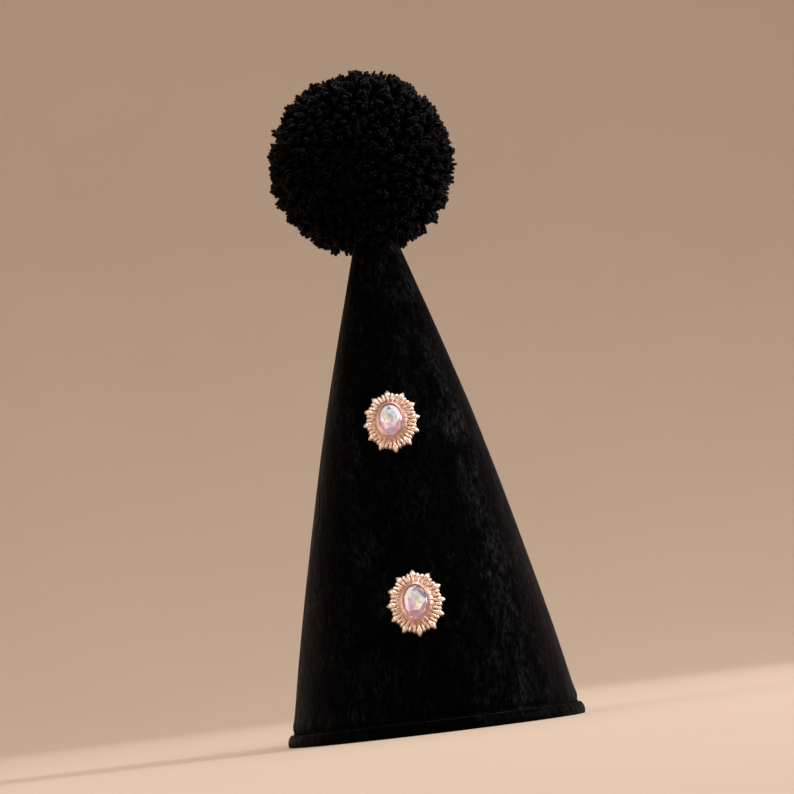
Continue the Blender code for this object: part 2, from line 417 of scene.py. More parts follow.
def faceted_stone():
    """Foiled crystal: each facet has its own tint and throws light its own way, under a clear polish."""
    material, tree, shader = new_material("opal_crystal")
    foil = attribute(tree, "foil", "Vector")
    place = out(tree, "ShaderNodeTexCoord", None, "Object")
    clouds = speckle(tree, place, 420.0, 2.0, distortion=0.8, output="Color")
    vivid = out(tree, "ShaderNodeHueSaturation", {"Color": clouds, "Saturation": 2.2, "Value": 1.3})
    lit = {0: 0.35, 6: attribute(tree, "tint", "Color"), 7: vivid}
    put(shader, {
        "Base Color": out(tree, "ShaderNodeMix", lit, 2, data_type="RGBA", blend_type="SOFT_LIGHT"),
        "Metallic": 0.20,
        "Roughness": 0.28,
        "Normal": out(tree, "ShaderNodeVectorMath", {0: foil}, operation="NORMALIZE"),
        "Coat Weight": 1.0,
        "Coat Roughness": 0.02,
        "Coat IOR": 1.6,
    })
    return material


def paper_floor(colour):
    """The matt floor and backdrop."""
    material, tree, shader = new_material("paper_floor")
    mottle = speckle(tree, out(tree, "ShaderNodeTexCoord", None, "Object"), 3.0, 4.0)
    darker = [part * 0.93 for part in colour]
    put(shader, {
        "Base Color": mix_colour(tree, mottle, darker, colour),
        "Roughness": 0.85,
        "Specular IOR Level": 0.2,
    })
    return material


def place(name, data):
    """A named object at the origin, in the scene."""
    obj = bpy.data.objects.new(name, data)
    bpy.context.scene.collection.objects.link(obj)
    return obj


def finish_piece(name, mesh, materials, node):
    """Hangs a finished piece on the hat's body, in place of a solid of the frame if one is named."""
    for material in materials:
        mesh.materials.append(material)
    obj = place(name, mesh)
    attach(obj, BODY)
    if node:
        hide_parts(node)


def mesh_from(name, points, faces):
    """A smooth mesh through points."""
    mesh = bpy.data.meshes.new(name)
    mesh.from_pydata(points, [], faces)
    mesh.shade_smooth()
    return mesh


def mesh_of(bm, name, smooth=True, sharp_angle=None):
    """Turns a bmesh into a mesh, shaded smooth if asked, but for edges past a sharp angle in degrees."""
    mesh = bpy.data.meshes.new(name)
    bm.to_mesh(mesh)
    bm.free()
    if smooth:
        mesh.shade_smooth()
    if sharp_angle:
        mesh.set_sharp_from_angle(angle=math.radians(sharp_angle))
    return mesh


def ring_faces(rings, count, closed=False):
    """Faces between rings of count points each. Closed, the last ring meets the first."""
    faces = []
    for r in range(rings if closed else rings - 1):
        low, high = r * count, (r + 1) % rings * count
        for k in range(count):
            after = (k + 1) % count
            faces.append((low + k, low + after, high + after, high + k))
    return faces


def closed_grid(name, rings):
    """A mesh through rings of points, with the first and the last ring closed by a fan."""
    count = len(rings[0])
    points = [point for ring in rings for point in ring]
    faces = ring_faces(len(rings), count)
    for r, turned in ((0, True), (len(rings) - 1, False)):
        points.append(sum(rings[r], Vector()) / count)
        for k in range(count):
            fan = (r * count + k, r * count + (k + 1) % count, len(points) - 1)
            faces.append(fan[::-1] if turned else fan)
    return mesh_from(name, points, faces)


def band(bm, first, second):
    """Joins two rings of the same number of points."""
    afters = (first[1:] + first[:1], second[1:] + second[:1])
    return [bm.faces.new((a, b, c, d)) for a, b, c, d in zip(first, afters[0], afters[1], second)]


def crown_point(shape, height, turn, out_by=0.0):
    """A point of the crown's outer surface, moved outwards: its height, and its turn from the front."""
    rise = height / shape.apex_height
    bow = 4 * rise * (1 - rise)
    half_width = shape.base_half_width * (1 - rise) + shape.width_bulge * bow + out_by
    half_depth = shape.base_half_depth * (1 - rise) + shape.depth_bulge * bow + out_by
    across = half_width * math.sin(turn) - shape.tip_lean * rise**2
    return Vector((across, -half_depth * math.cos(turn), height))


def flat_pattern(shape, height, turn):
    """Where a point of the crown lies in the flat sector of cloth that the crown is cut from."""
    radius = (shape.base_half_width + shape.base_half_depth) / 2
    slant = math.hypot(radius, shape.apex_height)
    from_apex = slant * (1 - height / shape.apex_height)
    angle = turn * radius / slant
    return from_apex * math.sin(angle), -from_apex * math.cos(angle)


def hump(distance, width):
    """A smooth hump, 1 in its middle and falling off over its width."""
    return math.exp(-((distance / width) ** 2))


# How far the velvet stands off the plain cone
WAVE_DEPTH = 0.00030
RIPPLE_DEPTH = 0.00010
HEM_GROOVE = 0.0007
HEM_PUFF = 0.00035
SEAM_GROOVE = 0.0009
SEAM_RIDGE = 0.00042


def crown_relief(shape, height, turn):
    """How far the velvet stands out from the plain cone: soft waves, the hem's groove and the back seam."""
    around = Vector((math.sin(turn), math.cos(turn), 0.0))
    waves = WAVE_DEPTH * noise.noise(around * 2.0 + Vector((0.0, 0.0, height * 16)))
    ripples = RIPPLE_DEPTH * noise.noise(around * 9.0 + Vector((0.0, 0.0, height * 60)))
    girth = math.tau * (shape.base_half_width + shape.base_half_depth) / 2
    stitches = round(girth / shape.stitch_pitch)
    above = height - shape.binding_height
    pucker = 0.75 + 0.25 * math.cos(turn * stitches)
    groove = -HEM_GROOVE * pucker * hump(above - 0.0007, 0.0012)
    puff = HEM_PUFF * hump(above - 0.0045, 0.0026) * (1 + 0.3 * math.cos(turn * stitches / 3))
    radius = shape.base_half_width * (1 - height / shape.apex_height) + 0.004
    from_seam = (math.pi - abs(turn)) * radius
    tugs = 1 + 0.25 * math.sin(height * math.tau / 0.009) + 0.15 * math.sin(height * math.tau / 0.0037)
    seam = -SEAM_GROOVE * hump(from_seam, 0.0008) + SEAM_RIDGE * tugs * hump(from_seam - 0.0030, 0.0020)
    return waves + ripples + groove + puff + seam


CROWN_COLUMNS = 288
CROWN_ROWS = 190
INSIDE_ROWS = 36
TIP_DEPTH = 0.008
TIP_ROUNDING = 0.001


def build_crown(shape, colours):
    """The velvet cone: its outer face, its backing inside, and the raw edge that the binding hides."""
    turns = [-math.pi + math.tau * c / CROWN_COLUMNS for c in range(CROWN_COLUMNS)]
    inner_top = shape.tip - TIP_DEPTH
    outer_top = shape.tip - TIP_ROUNDING
    # The rows run down the inside from its top, round the raw edge, and up the outside to the tip
    rows = []
    for r in range(INSIDE_ROWS + 1):
        rows.append((inner_top + (shape.foot - inner_top) * (r / INSIDE_ROWS), shape.wall))
    for r in range(CROWN_ROWS + 1):
        share = (r / CROWN_ROWS) ** 1.25
        rows.append((shape.foot + (outer_top - shape.foot) * share, 0.0))
    rings = []
    for height, inset in rows:
        ring = [crown_point(shape, height, t, crown_relief(shape, height, t) - inset) for t in turns]
        rings.append(ring)
    mesh = closed_grid("crown_velvet", rings)
    inside = range(INSIDE_ROWS * CROWN_COLUMNS)
    first_fan = (len(rows) - 1) * CROWN_COLUMNS
    inside_fan = range(first_fan, first_fan + CROWN_COLUMNS)
    for polygon in mesh.polygons:
        polygon.material_index = int(polygon.index in inside or polygon.index in inside_fan)
    lay_flat(mesh, shape, [height for height, inset in rows], CROWN_COLUMNS)
    materials = [velvet("black_velvet", colours, 1.0), backing_cloth(colours.backing)]
    finish_piece("crown_velvet", mesh, materials, "crown")


def lay_flat(mesh, shape, heights, columns):
    """Gives a closed grid the crown's flat pattern as its UV map, opened along the back."""
    layer = mesh.uv_layers.new(name="flat_pattern")
    last = len(heights) - 1
    for polygon in mesh.polygons:
        r, k = divmod(polygon.index, columns)
        corners = ((r, k), (r, k + 1), (r + 1, k + 1), (r + 1, k))
        # The fans come after the rings: first the one in the first ring, then the one in the last
        if r == last:
            corners = ((0, k + 0.5), (0, k + 1), (0, k))
        elif r > last:
            corners = ((last, k), (last, k + 1), (last, k + 0.5))
        for loop, (row, column) in zip(polygon.loop_indices, corners):
            turn = -math.pi + math.tau * column / columns
            layer.data[loop].uv = flat_pattern(shape, heights[row], turn)


# The outside of the fold from its seam to its foot, as shares: across its bulge, and up its height
FOLD = (
    *((0.02, 0.99), (0.30, 1.00), (0.58, 0.94), (0.82, 0.80), (0.95, 0.64), (1.00, 0.48)),
    *((0.97, 0.32), (0.88, 0.18), (0.72, 0.07), (0.48, 0.01), (0.20, 0.00)),
)
BINDING_COLUMNS = 360
SWELL_DEPTH = 0.00028
SLOW_SWELL_DEPTH = 0.00022
PUCKER_DEPTH = 0.00012
PUCKERS = 74
INSIDE_SHARE = 0.35


def binding_section(shape):
    """The binding's section once round, as (distance out from the crown's surface, height)."""
    top = shape.binding_height
    proud = shape.binding_bulge
    inner = -shape.wall - proud * 0.8
    section = [(proud * across, top * up) for across, up in FOLD]
    section.append(((proud * 0.2 + inner) / 2, 0.0))
    for across, up in reversed(FOLD):
        section.append((-shape.wall - (-shape.wall - inner) * across, top * up))
    section += [(-shape.wall - 0.0002, shape.foot - 0.0003), (-0.0001, shape.foot - 0.0003)]
    return section


def build_binding(shape, colours):
    """The velvet fold round the rim, gently rippled by its stitches."""
    section = binding_section(shape)
    points = []
    for turn in (-math.pi + math.tau * c / BINDING_COLUMNS for c in range(BINDING_COLUMNS)):
        around = Vector((math.sin(turn), math.cos(turn), 0.0))
        for i, (out_by, height) in enumerate(section):
            lifted = height / shape.binding_height
            swell = SWELL_DEPTH * noise.noise(around * 26.0 + Vector((0.0, 0.0, i * 0.35)))
            slow = SLOW_SWELL_DEPTH * noise.noise(around * 6.0)
            share = 1.0 if out_by > 0.0002 else INSIDE_SHARE
            pucker = PUCKER_DEPTH * math.sin(turn * PUCKERS + lifted * 2.0) * lifted
            points.append(crown_point(shape, height, turn, out_by + share * (swell + slow + pucker)))
    count = len(section)
    mesh = mesh_from("rim_binding_fold", points, ring_faces(BINDING_COLUMNS, count, closed=True))
    layer = mesh.uv_layers.new(name="flat_pattern")
    lengths = [0.0]
    for first, second in zip(section, section[1:] + section[:1]):
        lengths.append(lengths[-1] + math.dist(first, second))
    girth = math.tau * shape.base_half_width
    for polygon in mesh.polygons:
        c, i = divmod(polygon.index, count)
        corners = ((c, i), (c, i + 1), (c + 1, i + 1), (c + 1, i))
        for loop, (column, point) in zip(polygon.loop_indices, corners):
            layer.data[loop].uv = (girth * column / BINDING_COLUMNS, lengths[point])
    bm = bmesh.new()
    bm.from_mesh(mesh)
    bmesh.ops.recalc_face_normals(bm, faces=bm.faces)
    bm.to_mesh(mesh)
    bm.free()
    cloth = [velvet("binding_velvet", colours, 0.7)]
    finish_piece("rim_binding_fold", mesh, cloth, "rim_binding")


def growing_tree(name, inputs):
    """A Geometry Nodes tree with named inputs, besides the geometry that it starts from and its material."""
    inputs = {"Geometry": (GEOMETRY, None), **inputs, "Material": (MATERIAL, None)}
    return new_group(name, "GeometryNodeTree", inputs, {"Geometry": GEOMETRY})


def lay_out(tree, given, result, laid):
    """Ends a tree: its instances are laid out, realized and given their material."""
    placed = out(tree, "GeometryNodeInstanceOnPoints", laid)
    whole = out(tree, "GeometryNodeRealizeInstances", {"Geometry": placed})
    finished = {"Geometry": whole, "Material": given["Material"]}
    put(result, {"Geometry": out(tree, "GeometryNodeSetMaterial", finished)})
    return tree


def grow(host, tree, values):
    """Runs a tree on a helper object with named inputs, and returns the result as a plain mesh."""
    modifier = host.modifiers.new(tree.name, "NODES")
    modifier.node_group = tree
    for item in tree.interface.items_tree:
        if item.item_type == "SOCKET" and item.in_out == "INPUT" and item.name in values:
            modifier[item.identifier] = values[item.name]
    bpy.context.view_layer.update()
    depsgraph = bpy.context.evaluated_depsgraph_get()
    mesh = bpy.data.meshes.new_from_object(
        host.evaluated_get(depsgraph), preserve_all_data_layers=True, depsgraph=depsgraph
    )
    host.modifiers.remove(modifier)
    return mesh


def remove_helpers(*helpers):
    """Removes the objects that a tree has read."""
    for obj in helpers:
        bpy.data.objects.remove(obj, do_unlink=True)


def stitch_row_tree():
    """Stitches laid end to end along a closed line."""
    tree, given, result = growing_tree("stitch_row", {"Pitch": (VALUE, 0.0032), "Stitch": (OBJECT, None)})
    line = out(tree, "GeometryNodeMeshToCurve", {"Mesh": given["Geometry"]})
    spaced = {"Curve": line, "Length": given["Pitch"]}
    points = add(tree, "GeometryNodeCurveToPoints", spaced, mode="LENGTH").outputs
    aim = {"Rotation": points["Rotation"], "Vector": points["Tangent"]}
    facing = out(tree, "FunctionNodeAlignRotationToVector", aim, axis="X", pivot_axis="AUTO")
    stitch = {"Object": given["Stitch"], "As Instance": True}
    laid = {
        "Points": points["Points"],
        "Instance": out(tree, "GeometryNodeObjectInfo", stitch, "Geometry"),
        "Rotation": facing,
    }
    return lay_out(tree, given, result, laid)


MAP_PER_MM = 0.2
CAP_MAP_SCALE = 300


def tube(bm, rings, sides):
    """A closed tube through (centre, radius) rings, with a map that counts round it and along it."""
    along = bm.loops.layers.uv.verify()
    made, places = [], []
    length = 0.0
    for i, (centre, radius) in enumerate(rings):
        before, after = rings[max(i - 1, 0)][0], rings[min(i + 1, len(rings) - 1)][0]
        turned = (after - before).to_track_quat("Z", "Y")
        ring = []
        for k in range(sides):
            angle = math.tau * k / sides
            spoke = Vector((radius * math.cos(angle), radius * math.sin(angle), 0.0))
            ring.append(bm.verts.new(centre + turned @ spoke))
        made.append(ring)
        if i:
            length += (centre - rings[i - 1][0]).length
        places.append(length / MM)
    for r in range(len(made) - 1):
        for k, face in enumerate(band(bm, made[r], made[r + 1])):
            spots = ((k, r), (k + 1, r), (k + 1, r + 1), (k, r + 1))
            for loop, (side, row) in zip(face.loops, spots):
                loop[along].uv = (side / sides, places[row] * MAP_PER_MM)
    for face, row in ((bm.faces.new(made[-1]), -1), (bm.faces.new(made[0][::-1]), 0)):
        for loop in face.loops:
            spot = loop.vert.co * CAP_MAP_SCALE
            loop[along].uv = (spot.x, places[row] * MAP_PER_MM + spot.y)
    return [vert for ring in made for vert in ring]


def thread_mesh(bm, name):
    """Turns tubes into a mesh, with their map named as the thread material reads it."""
    mesh = mesh_of(bm, name)
    mesh.uv_layers[0].name = "along_thread"
    return mesh


STITCH_STEPS = 6
STITCH_SIDES = 6
STITCH_LINE_STEPS = 600
STITCH_LIFT = 0.0006
STITCH_SINK = 0.00045
STITCH_SHARE = 0.80
STITCH_WIDTH = 0.00046


def stitch_mesh(length, thickness):
    """One stitch: a short plump thread that dives at both ends."""
    rings = []
    for s in range(STITCH_STEPS + 1):
        share = s / STITCH_STEPS
        dive = -thickness * 1.2 * (2 * share - 1) ** 4
        swell = thickness / 2 * (0.55 + 0.45 * math.sin(math.pi * share))
        rings.append((Vector((length * (share - 0.5), 0.0, dive)), swell))
    bm = bmesh.new()
    tube(bm, rings, STITCH_SIDES)
    return thread_mesh(bm, "stitch")


def build_stitches(shape, colours):
    """The row of hem stitches that lies in the groove above the binding."""
    height = shape.binding_height + STITCH_LIFT
    steps = range(STITCH_LINE_STEPS)
    ring = [crown_point(shape, height, math.tau * i / len(steps), -STITCH_SINK) for i in steps]
    line = bpy.data.meshes.new("stitch_line")
    line.from_pydata(ring, [(i, (i + 1) % len(steps)) for i in steps], [])
    host = place("stitch_line", line)
    stitch = place("stitch", stitch_mesh(shape.stitch_pitch * STITCH_SHARE, STITCH_WIDTH))
    thread = thread_material("hem_thread", colours.yarn, 0.3, 0.6, 0.3)
    values = {"Pitch": shape.stitch_pitch, "Stitch": stitch, "Material": thread}
    mesh = grow(host, stitch_row_tree(), values)
    remove_helpers(host, stitch)
    finish_piece("hem_stitches", mesh, [], None)


# The rings along a ply of yarn: how far along it each lies, and how thick the ply is there
PLY = ((0.0, 0.95), (0.5, 1.0), (0.84, 1.1), (1.0, 0.62))
PLIES = 3
PLY_SIDES = 5
YARN_KINDS = 6
YARN_BEND = 0.0026
HAIR_ROOT_RADIUS = 0.00011
HAIR_TIP_RADIUS = 0.00003
HAIR_SIDES = 3


def yarn_end_mesh(pompom, seed):
    """One loose end of yarn, its root at the origin: plies that twist together, fray apart and shed hairs."""
    pick = random.Random(seed)
    turns = pick.uniform(0.35, 0.6)
    bend = Vector((pick.uniform(-1, 1), pick.uniform(-1, 1), 0.0)) * YARN_BEND
    bm = bmesh.new()
    shade = bm.verts.layers.float.new("shade")
    for ply in range(PLIES):
        start = math.tau * ply / PLIES + pick.uniform(-0.3, 0.3)
        fray = pick.uniform(0.15, 0.85)
        reach = pompom.end_length * pick.uniform(0.90, 1.04)
        thick = pompom.ply_radius * pick.uniform(0.88, 1.12)
        rings = []
        for share, thickness in PLY:
            angle = start + math.tau * turns * share
            spread = pompom.ply_radius * (0.82 + 0.6 * fray * share**3)
            centre = Vector((spread * math.cos(angle), spread * math.sin(angle), reach * share))
            rings.append((centre + bend * share**2, thick * thickness))
        tone = pick.uniform(0.0, 1.0)
        for vert in tube(bm, rings, PLY_SIDES):
            vert[shade] = tone
        root, tip = rings[-2][0], rings[-1][0]
        away = Vector((math.cos(angle), math.sin(angle), 0.0)) * pick.uniform(0.0004, 0.0016)
        end = tip + (tip - root) * 0.25 + away
        for vert in tube(bm, [(root, HAIR_ROOT_RADIUS), (end, HAIR_TIP_RADIUS)], HAIR_SIDES):
            vert[shade] = 1.0
    return thread_mesh(bm, "yarn_end")


def yarn_ball_tree():
    """Yarn ends standing out of a ball, closely packed and each turned its own way."""
    tree, given, result = growing_tree("yarn_ball", {
        "Middle": (VECTOR, None),
        "Spacing": (VALUE, 0.0026),
        "Lowest": (VALUE, -1.0),
        "Highest": (VALUE, 1.0),
        "Tilt": (VALUE, 0.17),
        "Shortest": (VALUE, 0.82),
        "Longest": (VALUE, 1.05),
        "Tuft Scale": (VALUE, 130.0),
        "Seed": (INTEGER, 0),
        "Ends": (COLLECTION, None),
    })
    seed, tilt = given["Seed"], given["Tilt"]
    packed = {"Mesh": given["Geometry"], "Distance Min": given["Spacing"], "Density Max": 4e6, "Seed": seed}
    points = out(tree, "GeometryNodeDistributePointsOnFaces", packed, distribute_method="POISSON")
    spot = out(tree, "GeometryNodeInputPosition")
    spoke = out(tree, "ShaderNodeVectorMath", {0: spot, 1: given["Middle"]}, operation="SUBTRACT")
    outwards = out(tree, "ShaderNodeVectorMath", {0: spoke}, operation="NORMALIZE")
    rise = out(tree, "ShaderNodeSeparateXYZ", {0: outwards}, "Z")
    low = out(tree, "FunctionNodeCompare", {0: rise, 1: given["Lowest"]}, operation="LESS_THAN")
    high = out(tree, "FunctionNodeCompare", {0: rise, 1: given["Highest"]}, operation="GREATER_EQUAL")
    outside = out(tree, "FunctionNodeBooleanMath", {0: low, 1: high}, operation="OR")
    kept = out(tree, "GeometryNodeDeleteGeometry", {"Geometry": points, "Selection": outside}, domain="POINT")
    facing = out(
        tree, "FunctionNodeAlignRotationToVector", {"Vector": outwards}, axis="Z", pivot_axis="AUTO"
    )
    back = product(tree, tilt, -1.0)
    tilts = {
        0: out(tree, "ShaderNodeCombineXYZ", {0: back, 1: back}),
        1: out(tree, "ShaderNodeCombineXYZ", {0: tilt, 1: tilt, 2: math.tau}),
        "Seed": seed,
    }
    turn = out(tree, "FunctionNodeRandomValue", tilts, data_type="FLOAT_VECTOR")
    turned = {"Rotation": facing, "Rotate By": turn}
    tufts = speckle(tree, spot, given["Tuft Scale"], 1.0)
    trims = {"Value": tufts, 1: 0.34, 2: 0.66, 3: given["Shortest"], 4: given["Longest"]}
    trim = out(tree, "FunctionNodeRandomValue", {2: 0.91, 3: 1.05, "Seed": seed}, 1, data_type="FLOAT")
    ends = {"Collection": given["Ends"], "Separate Children": True, "Reset Children": True}
    laid = {
        "Points": kept,
        "Instance": out(tree, "GeometryNodeCollectionInfo", ends),
        "Pick Instance": True,
        "Rotation": out(tree, "FunctionNodeRotateRotation", turned, rotation_space="LOCAL"),
        "Scale": product(tree, out(tree, "ShaderNodeMapRange", trims), trim),
    }
    return lay_out(tree, given, result, laid)


CORE_SHARE = 0.80
# The upper and the lower piece of yarn meet at this share of the radius above the ball's middle
BALL_SPLIT = 0.02
ABOVE_ALL = 1.1


def lumpy_ball(centre, radius, lump, fineness):
    """A ball whose surface swells and sinks a little."""
    bm = bmesh.new()
    bmesh.ops.create_icosphere(bm, subdivisions=5, radius=radius)
    for vert in bm.verts:
        vert.co = centre + vert.co * (1.0 + lump * noise.noise(vert.co * fineness))
    return bm


def build_pompom(pompom, colours):
    """The yarn ball: a dark core, and loose ends of yarn in an upper and a lower piece."""
    yarn = thread_material("wool_yarn", colours.yarn, None, 0.42, 0.8)
    centre = Vector((-pompom.sideways, 0.0, pompom.height))
    bm = lumpy_ball(centre, pompom.radius * CORE_SHARE, 0.02, 420.0)
    bm.verts.layers.float.new("shade")
    along = bm.loops.layers.uv.new("along_thread")
    for face in bm.faces:
        for loop in face.loops:
            spoke = loop.vert.co - centre
            loop[along].uv = (math.atan2(spoke.y, spoke.x) * 8, spoke.z * 300)
    finish_piece("pompom_core", mesh_of(bm, "pompom_core"), [yarn], "pompom")

    bm = lumpy_ball(centre, pompom.radius - pompom.end_length, 0.020, 45.0)
    host = place("yarn_roots", mesh_of(bm, "yarn_roots", smooth=False))
    kinds = bpy.data.collections.new("yarn_kinds")
    bpy.context.scene.collection.children.link(kinds)
    ends = []
    for kind in range(YARN_KINDS):
        end = bpy.data.objects.new(f"yarn_end_{kind}", yarn_end_mesh(pompom, pompom.seed + kind))
        kinds.objects.link(end)
        ends.append(end)
    values = {"Middle": centre, "Spacing": pompom.spacing, "Seed": pompom.seed}
    values |= {"Ends": kinds, "Material": yarn}
    tree = yarn_ball_tree()
    bare = -math.cos(pompom.bare_angle)
    for half, lowest, highest in (("upper", BALL_SPLIT, ABOVE_ALL), ("lower", bare, BALL_SPLIT)):
        mesh = grow(host, tree, {**values, "Lowest": lowest, "Highest": highest})
        finish_piece(f"pompom_yarn_{half}", mesh, [], "pompom")
    remove_helpers(host, *ends)
    bpy.data.collections.remove(kinds)


def button_frame(shape, buttons, button):
    """Where a button lies: its own frame, flat against the crown with the clear gap under it."""
    step = 1e-5
    here = crown_point(shape, button.height, button.turn)
    up = crown_point(shape, button.height + step, button.turn) - here
    across = crown_point(shape, button.height, button.turn + step) - here
    outwards = across.cross(up).normalized()
    up.normalize()
    turned = Matrix((up.cross(outwards), up, outwards)).transposed().to_4x4()
    moved = Matrix.Translation(here + outwards * buttons.gap)
    return moved @ turned @ Matrix.Rotation(button.spin, 4, "Z")


# The sections along a ray, in millimetres: how far past the stone's edge each lies, its half width,
# its height, and how pale its gold is
POINTED_RAY = (
    (0.2, 0.50, 3.92, 0.00),
    (1.0, 0.72, 3.56, 0.00),
    (1.8, 0.82, 3.22, 0.20),
    (2.7, 0.88, 2.95, 0.60),
    (3.5, 1.06, 2.95, 0.95),
    (4.3, 1.32, 3.10, 1.00),
    (5.0, 1.58, 3.05, 1.00),
    (5.6, 1.56, 2.80, 1.00),
    (6.2, 1.18, 2.40, 1.00),
    (6.9, 0.70, 1.75, 1.00),
    (7.5, 0.16, 0.90, 1.00),
)
RIB = (
    (0.2, 0.46, 3.90, 0.00),
    (1.0, 0.64, 3.54, 0.00),
    (1.8, 0.70, 3.18, 0.20),
    (2.7, 0.64, 2.88, 0.60),
    (3.6, 0.40, 2.62, 0.90),
)
BAR = (
    (1.5, 0.40, 3.05, 0.10),
    (2.2, 0.62, 2.98, 0.50),
    (3.0, 0.70, 2.92, 0.90),
    (4.0, 0.80, 3.00, 1.00),
    (4.8, 0.88, 2.86, 1.00),
    (5.4, 0.76, 2.40, 1.00),
    (5.8, 0.44, 1.60, 1.00),
)
# The kinds of ray, and where each starts as a share of the step from one pointed ray to the next
RAY_KINDS = (
    ("pointed_ray", POINTED_RAY, 0.0),
    ("rib", RIB, 1 / 2),
    ("bar", BAR, 1 / 3),
    ("second_bar", BAR, 2 / 3),
)
RAY_FOOT = 0.4 * MM
RAY_ARCH = 8
RAY_SIDE_SHADE = 0.45

# The rings of the collar and plate from the stone's seat to the back, in millimetres: how far past the
# stone's edge each lies, its height, how pale its gold is, and how dark its painted shade is: in the seat
# under the collar's lip, down the collar's slope, on the plate between the rays, at its edge and on its back
COLLAR = (
    (-6.0, 1.00, 0.0, 0.6),
    (0.12, 1.00, 0.0, 0.6),
    (0.12, 3.12, 0.0, 0.4),
    (-0.45, 3.55, 0.0, 0.2),
    (-0.82, 3.86, 0.0, 0.1),
    (-0.86, 3.94, 0.0, 0.0),
    (-0.76, 4.02, 0.0, 0.0),
    (-0.46, 4.04, 0.0, 0.0),
    (-0.10, 3.94, 0.0, 0.0),
    (0.35, 3.72, 0.0, 0.0),
    (0.85, 3.38, 0.0, 0.1),
    (1.35, 2.98, 0.0, 0.2),
    (1.80, 2.62, 0.1, 0.4),
    (2.30, 2.32, 0.2, 0.6),
    (2.80, 2.18, 0.3, 0.7),
    (3.40, 2.05, 0.5, 0.9),
    (4.20, 1.98, 0.6, 0.9),
    (4.90, 1.85, 0.7, 0.9),
    (5.20, 1.50, 0.8, 0.8),
    (5.45, 1.15, 0.8, 0.8),
    (5.44, 0.30, 0.8, 0.8),
    (5.25, 0.00, 0.8, 0.8),
    (-6.0, 0.00, 0.5, 0.5),
)
COLLAR_STEPS = 144
LEAST_RADIUS = 0.0002


def cast_mesh(name, rings, sharp_angle):
    """A cast form through rings of (point, tone, painted shade), closed at both ends."""
    bm = bmesh.new()
    tone = bm.verts.layers.float.new("tone")
    recess = bm.verts.layers.float.new("recess")
    made = []
    for ring in rings:
        verts = []
        for point, pale, dark in ring:
            vert = bm.verts.new(point)
            vert[tone], vert[recess] = pale, dark
            verts.append(vert)
        made.append(verts)
    for first, second in zip(made, made[1:]):
        band(bm, first, second)
    bm.faces.new(made[0])
    bm.faces.new(made[-1])
    bmesh.ops.recalc_face_normals(bm, faces=bm.faces)
    return mesh_of(bm, name, sharp_angle=sharp_angle)


def ray_mesh(name, sections):
    """One ray of the sunburst along +X from the stone's edge, lofted through its arched sections."""
    rings = []
    for reach, half_width, height, tone in sections:
        ring = []
        for k in range(RAY_ARCH + 1):
            angle = math.pi * k / RAY_ARCH
            side = half_width * MM * math.cos(angle)
            up = RAY_FOOT + (height * MM - RAY_FOOT) * math.sin(angle) ** 0.55
            # Each ray's sides darken towards its foot: painted shade
            ring.append(((reach * MM, side, up), tone, (1 - math.sin(angle)) * RAY_SIDE_SHADE))
        rings.append(ring)
    return cast_mesh(name, rings, 50)


def collar_mesh(buttons):
    """The cast plate with the stone's seat and its smooth collar, as rings from the seat to the back."""
    angles = [math.tau * k / COLLAR_STEPS for k in range(COLLAR_STEPS)]
    rings = []
    for reach, height, tone, recess in COLLAR:
        across = max(buttons.half_width + reach * MM, LEAST_RADIUS)
        along = max(buttons.half_length + reach * MM, LEAST_RADIUS)
        spots = [(across * math.cos(angle), along * math.sin(angle), height * MM) for angle in angles]
        rings.append([(spot, tone, recess) for spot in spots])
    return cast_mesh("collar", rings, 60)


def ray_ring_tree():
    """Rays set round an oval, each along the oval's normal."""
    tree, given, result = growing_tree("ray_ring", {
        "Count": (INTEGER, 12),
        "Half Width": (VALUE, 0.0065),
        "Half Length": (VALUE, 0.009),
        "Start": (VALUE, 0.0),
        "Ray": (OBJECT, None),
    })
    ring = out(tree, "GeometryNodeMeshCircle", {"Vertices": given["Count"], "Radius": 1.0})
    step = maths(tree, "DIVIDE", math.tau, given["Count"])
    number = out(tree, "GeometryNodeInputIndex")
    angle = maths(tree, "ADD", product(tree, number, step), given["Start"])
    across, along = maths(tree, "COSINE", angle), maths(tree, "SINE", angle)
    half_width, half_length = given["Half Width"], given["Half Length"]
    spot = {0: product(tree, across, half_width), 1: product(tree, along, half_length)}
    normal = {0: product(tree, across, half_length), 1: product(tree, along, half_width)}
    moved = {"Geometry": ring, "Position": out(tree, "ShaderNodeCombineXYZ", spot)}
    aim = {"Vector": out(tree, "ShaderNodeCombineXYZ", normal)}
    ray = {"Object": given["Ray"], "As Instance": True}
    laid = {
        "Points": out(tree, "GeometryNodeSetPosition", moved),
        "Instance": out(tree, "GeometryNodeObjectInfo", ray, "Geometry"),
        "Rotation": out(tree, "FunctionNodeAlignRotationToVector", aim, axis="X", pivot_axis="Z"),
    }
    return lay_out(tree, given, result, laid)


def build_settings(shape, buttons, colours):
    """Both cast settings: a collar and plate, with pointed rays, bars and ribs set round them in turn."""
    metal = cast_metal(colours)
    values = {
        "Count": buttons.rays,
        "Half Width": buttons.half_width,
        "Half Length": buttons.half_length,
        "Material": metal,
    }
    tree = ray_ring_tree()
    host = place("ring_host", bpy.data.meshes.new("ring_host"))
    whole = bmesh.new()
    whole.from_mesh(collar_mesh(buttons))
    for name, sections, share in RAY_KINDS:
        ray = place(name, ray_mesh(name, sections))
        start = math.tau / buttons.rays * share
        whole.from_mesh(grow(host, tree, {**values, "Start": start, "Ray": ray}))
        remove_helpers(ray)
    remove_helpers(host)
    setting = mesh_of(whole, "setting", smooth=False)
    for polygon in setting.polygons:
        polygon.material_index = 0
    for button in BUTTONS:
        mesh = setting.copy()
        mesh.transform(button_frame(shape, buttons, button))
        finish_piece(f"{button.name}_setting_cast", mesh, [metal], f"{button.name}_setting")


